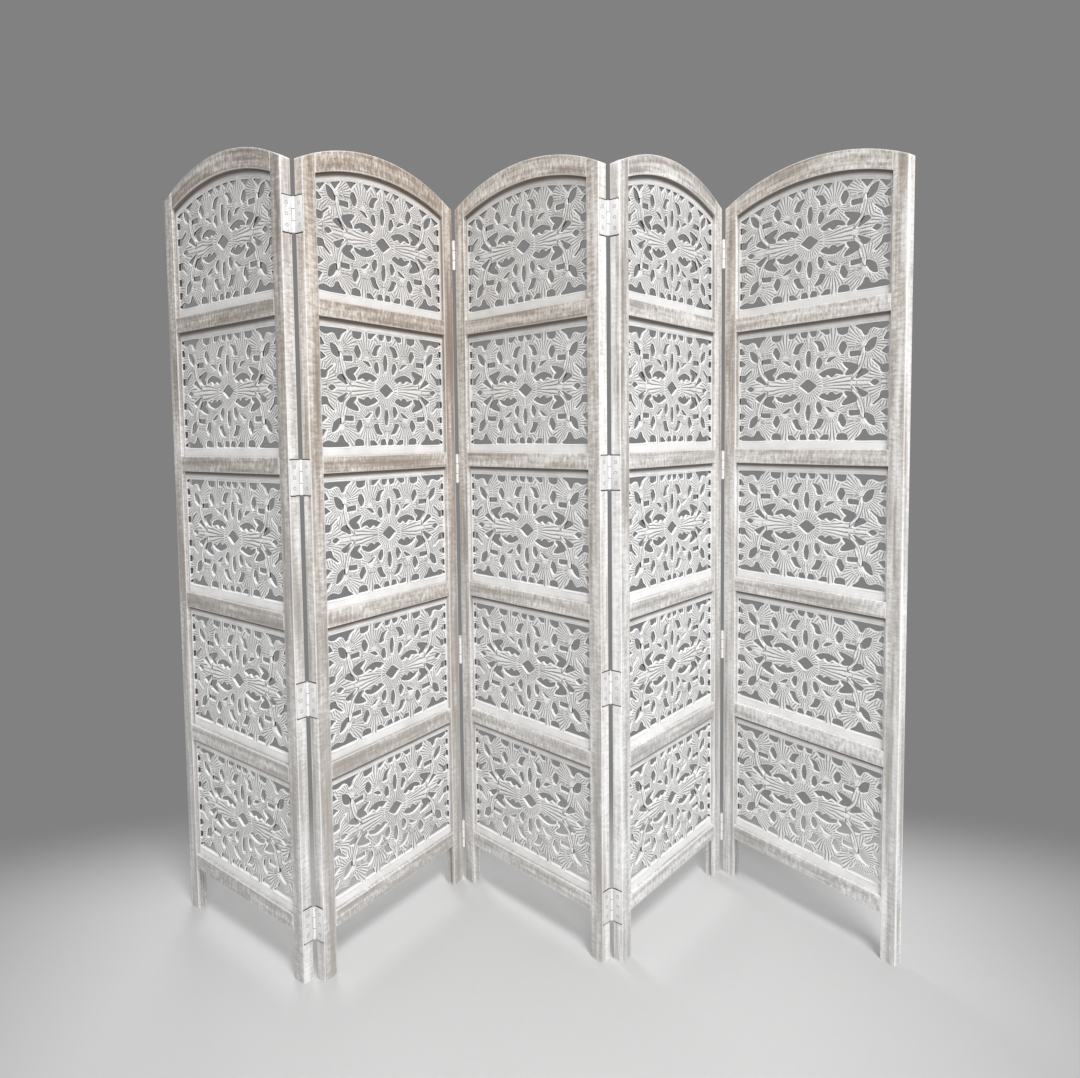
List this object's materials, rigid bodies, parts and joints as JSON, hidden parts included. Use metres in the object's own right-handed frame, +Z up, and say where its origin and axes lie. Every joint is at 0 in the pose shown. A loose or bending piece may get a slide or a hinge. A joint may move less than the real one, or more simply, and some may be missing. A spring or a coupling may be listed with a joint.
{
  "type": "carved jali screen",
  "caption": "Folding wooden room screen with arched leaves of pierced and carved panels in grooved frames, joined by butt hinges.",
  "frame": {"origin": "on the floor, under the middle of the box of the rest pose", "axes": "+Z up, -Y towards the viewer of the carved fronts, +X to that viewer's right"},
  "size_m": [1.6998, 0.4428, 1.83],
  "materials": {
    "frame_wood": "limewashed wood, rubbed back to a pale warm grey, with saw marks",
    "carved_panel_wood": "carved and pierced wood, chalky whitewash with grey in the cuts",
    "hinge_steel": "plain steel butt hinges under thin worn whitewash"
  },
  "bodies": {
    "leaf_1": {"leaf_1_left_stile": "frame_wood", "leaf_1_right_stile": "frame_wood", "leaf_1_bottom_rail": "frame_wood", "leaf_1_cross_rails": "frame_wood", "leaf_1_arch_rail": "frame_wood", "leaf_1_arched_panel": "carved_panel_wood", "leaf_1_panel_1": "carved_panel_wood", "leaf_1_panel_2": "carved_panel_wood", "leaf_1_panel_3": "carved_panel_wood", "leaf_1_panel_4": "carved_panel_wood", "leaf_1_hinge_plates": "hinge_steel", "fold_1_2_hinge_pins": "hinge_steel"},
    "leaf_2": {"leaf_2_left_stile": "frame_wood", "leaf_2_right_stile": "frame_wood", "leaf_2_bottom_rail": "frame_wood", "leaf_2_cross_rails": "frame_wood", "leaf_2_arch_rail": "frame_wood", "leaf_2_arched_panel": "carved_panel_wood", "leaf_2_panel_1": "carved_panel_wood", "leaf_2_panel_2": "carved_panel_wood", "leaf_2_panel_3": "carved_panel_wood", "leaf_2_panel_4": "carved_panel_wood", "leaf_2_hinge_plates": "hinge_steel", "fold_2_3_hinge_pins": "hinge_steel"},
    "leaf_3": {"leaf_3_left_stile": "frame_wood", "leaf_3_right_stile": "frame_wood", "leaf_3_bottom_rail": "frame_wood", "leaf_3_cross_rails": "frame_wood", "leaf_3_arch_rail": "frame_wood", "leaf_3_arched_panel": "carved_panel_wood", "leaf_3_panel_1": "carved_panel_wood", "leaf_3_panel_2": "carved_panel_wood", "leaf_3_panel_3": "carved_panel_wood", "leaf_3_panel_4": "carved_panel_wood", "leaf_3_hinge_plates": "hinge_steel", "fold_3_4_hinge_pins": "hinge_steel"},
    "leaf_4": {"leaf_4_left_stile": "frame_wood", "leaf_4_right_stile": "frame_wood", "leaf_4_bottom_rail": "frame_wood", "leaf_4_cross_rails": "frame_wood", "leaf_4_arch_rail": "frame_wood", "leaf_4_arched_panel": "carved_panel_wood", "leaf_4_panel_1": "carved_panel_wood", "leaf_4_panel_2": "carved_panel_wood", "leaf_4_panel_3": "carved_panel_wood", "leaf_4_panel_4": "carved_panel_wood", "leaf_4_hinge_plates": "hinge_steel", "fold_4_5_hinge_pins": "hinge_steel"},
    "leaf_5": {"leaf_5_left_stile": "frame_wood", "leaf_5_right_stile": "frame_wood", "leaf_5_bottom_rail": "frame_wood", "leaf_5_cross_rails": "frame_wood", "leaf_5_arch_rail": "frame_wood", "leaf_5_arched_panel": "carved_panel_wood", "leaf_5_panel_1": "carved_panel_wood", "leaf_5_panel_2": "carved_panel_wood", "leaf_5_panel_3": "carved_panel_wood", "leaf_5_panel_4": "carved_panel_wood", "leaf_5_hinge_plates": "hinge_steel"}
  },
  "joints": [
    {"name": "fold_2_3", "type": "hinge", "parent": "leaf_3", "child": "leaf_2", "pos_m": [-0.15549, 0.18301, 0.9], "axis": [0, 0, 1], "range_deg": [-102, 74]},
    {"name": "fold_1_2", "type": "hinge", "parent": "leaf_2", "child": "leaf_1", "pos_m": [-0.45663, -0.19988, 0.9], "axis": [0, 0, -1], "range_deg": [-95, 85]},
    {"name": "fold_3_4", "type": "hinge", "parent": "leaf_3", "child": "leaf_4", "pos_m": [0.20414, -0.14555, 0.9], "axis": [0, 0, 1], "range_deg": [-96, 80]},
    {"name": "fold_4_5", "type": "hinge", "parent": "leaf_4", "child": "leaf_5", "pos_m": [0.54364, 0.20376, 0.9], "axis": [0, 0, -1], "range_deg": [-104, 76]}
  ]
}
